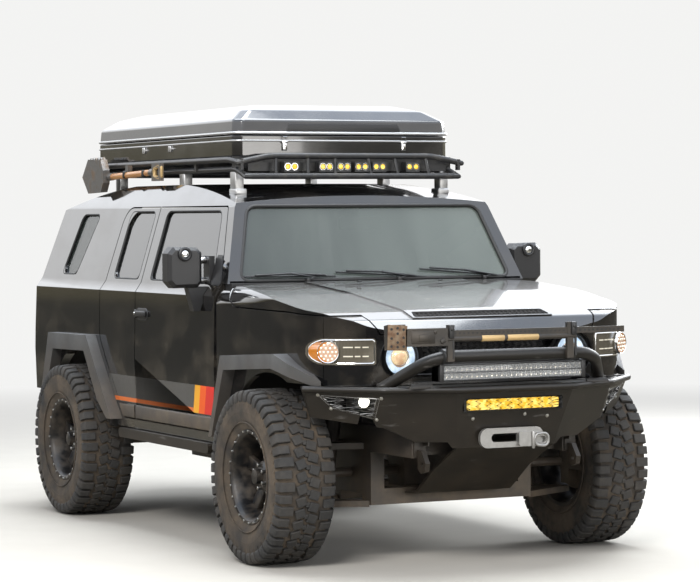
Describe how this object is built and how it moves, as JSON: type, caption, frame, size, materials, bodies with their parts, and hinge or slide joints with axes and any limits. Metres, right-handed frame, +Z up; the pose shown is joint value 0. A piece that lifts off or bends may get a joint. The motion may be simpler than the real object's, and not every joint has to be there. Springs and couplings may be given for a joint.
{
  "type": "lifted off-road 4x4",
  "caption": "Two-box off-road wagon on lifted suspension with mud tyres, plate bumper with hoop and light bar, roof rack and hard-shell roof tent.",
  "frame": {"origin": "on the ground under the middle of the vehicle's box", "axes": "+Z up, +Y towards the rear, +X towards the vehicle's left side"},
  "size_m": [2.25, 4.725, 2.35],
  "materials": {
    "black_paint": "gloss",
    "grey_lower_paint": "satin",
    "tub_paint": "satin",
    "frame_paint": "satin",
    "powder_coat": "satin",
    "flare_plastic": "matt",
    "black_plastic": "matt",
    "screen_glass": "clear",
    "tinted_glass": "tinted",
    "lamp_lens": "clear",
    "light_housing": "satin",
    "cast_grey": "satin",
    "jack_steel": "satin",
    "tyre_rubber": "matt",
    "rim_black": "satin",
    "rack_coat": "satin",
    "tent_shell": "gloss",
    "mattress_fabric": "woven",
    "seat_fabric": "woven",
    "dash_plastic": "grained",
    "shovel_steel": "worn",
    "engine_cast": "cast",
    "axle_steel": "painted",
    "exhaust_steel": "dull",
    "tank_plastic": "matt"
  },
  "bodies": {
    "body": {"auxiliary_lights": "light_housing", "body_sides": "black_paint", "cab_tub": "tub_paint", "chassis_frame": "frame_paint", "dashboard": "dash_plastic", "exhaust": "exhaust_steel", "fairlead": "cast_grey", "fender_flares": "flare_plastic", "fixed_glass": "screen_glass", "front_bumper": "powder_coat", "front_fascia": "black_paint", "front_fenders": "black_paint", "front_suspension": "axle_steel", "fuel_tank": "tank_plastic", "grille": "black_plastic", "lamps": "lamp_lens", "lever_jack": "jack_steel", "powertrain": "engine_cast", "rear_axle": "axle_steel", "rear_bumper": "powder_coat", "rock_sliders": "powder_coat", "roof_panel": "black_paint", "roof_rack": "rack_coat", "seats": "seat_fabric", "shovel": "shovel_steel", "tent_base": "tent_shell", "tent_mattress": "mattress_fabric"},
    "hood": {"hood": "black_paint"},
    "tailgate": {"tailgate": "black_paint", "tailgate_glass": "tinted_glass", "spare_tyre": "tyre_rubber", "spare_rim": "rim_black"},
    "tent_lid": {"tent_lid": "tent_shell"},
    "knuckle_left": {"knuckle_left": "axle_steel"},
    "knuckle_right": {"knuckle_right": "axle_steel"},
    "door_front_left": {"door_front_left": "black_paint", "door_glass_front_left": "tinted_glass", "mirror_left": "black_plastic"},
    "door_rear_left": {"door_rear_left": "black_paint", "door_glass_rear_left": "tinted_glass"},
    "wheel_front_left": {"tyre_front_left": "tyre_rubber", "rim_front_left": "rim_black"},
    "wheel_rear_left": {"tyre_rear_left": "tyre_rubber", "rim_rear_left": "rim_black"},
    "door_front_right": {"door_front_right": "black_paint", "door_glass_front_right": "tinted_glass", "mirror_right": "black_plastic"},
    "door_rear_right": {"door_rear_right": "black_paint", "door_glass_rear_right": "tinted_glass"},
    "wheel_front_right": {"tyre_front_right": "tyre_rubber", "rim_front_right": "rim_black"},
    "wheel_rear_right": {"tyre_rear_right": "tyre_rubber", "rim_rear_right": "rim_black"}
  },
  "joints": [
    {"name": "hood_hinge", "type": "hinge", "parent": "body", "child": "hood", "pos_m": [0, -0.8375, 1.382], "axis": [-1, 0, 0], "range_deg": [0, 50]},
    {"name": "door_front_left_hinge", "type": "hinge", "parent": "body", "child": "door_front_left", "pos_m": [0.93, -0.7485, 1], "axis": [0, 0, -1], "range_deg": [0, 65]},
    {"name": "door_front_right_hinge", "type": "hinge", "parent": "body", "child": "door_front_right", "pos_m": [-0.93, -0.7485, 1], "axis": [0, 0, 1], "range_deg": [0, 65]},
    {"name": "door_rear_left_hinge", "type": "hinge", "parent": "body", "child": "door_rear_left", "pos_m": [0.93, 0.9235, 1], "axis": [0, 0, 1], "range_deg": [0, 80]},
    {"name": "door_rear_right_hinge", "type": "hinge", "parent": "body", "child": "door_rear_right", "pos_m": [-0.93, 0.9235, 1], "axis": [0, 0, -1], "range_deg": [0, 80]},
    {"name": "tailgate_hinge", "type": "hinge", "parent": "body", "child": "tailgate", "pos_m": [0.69, 2.0275, 1.2], "axis": [0, 0, -1], "range_deg": [0, 90]},
    {"name": "tent_lid_hinge", "type": "hinge", "parent": "body", "child": "tent_lid", "pos_m": [0, 1.6575, 2.186], "axis": [-1, 0, 0], "range_deg": [0, 35]},
    {"name": "steer_left", "type": "hinge", "parent": "body", "child": "knuckle_left", "pos_m": [0.83, -1.4125, 0.44], "axis": [0, 0, 1], "range_deg": [-30, 30]},
    {"name": "steer_right", "type": "hinge", "parent": "body", "child": "knuckle_right", "pos_m": [-0.83, -1.4125, 0.44], "axis": [0, 0, 1], "range_deg": [-30, 30]},
    {"name": "spin_front_left", "type": "hinge", "parent": "knuckle_left", "child": "wheel_front_left", "pos_m": [0.9, -1.4125, 0.44], "axis": [1, 0, 0], "continuous": true},
    {"name": "spin_front_right", "type": "hinge", "parent": "knuckle_right", "child": "wheel_front_right", "pos_m": [-0.9, -1.4125, 0.44], "axis": [1, 0, 0], "continuous": true},
    {"name": "spin_rear_left", "type": "hinge", "parent": "body", "child": "wheel_rear_left", "pos_m": [0.9, 1.2775, 0.44], "axis": [1, 0, 0], "continuous": true},
    {"name": "spin_rear_right", "type": "hinge", "parent": "body", "child": "wheel_rear_right", "pos_m": [-0.9, 1.2775, 0.44], "axis": [1, 0, 0], "continuous": true}
  ],
  "couplings": [
    {"joint": "steer_right", "follows": "steer_left", "ratio": 1}
  ]
}
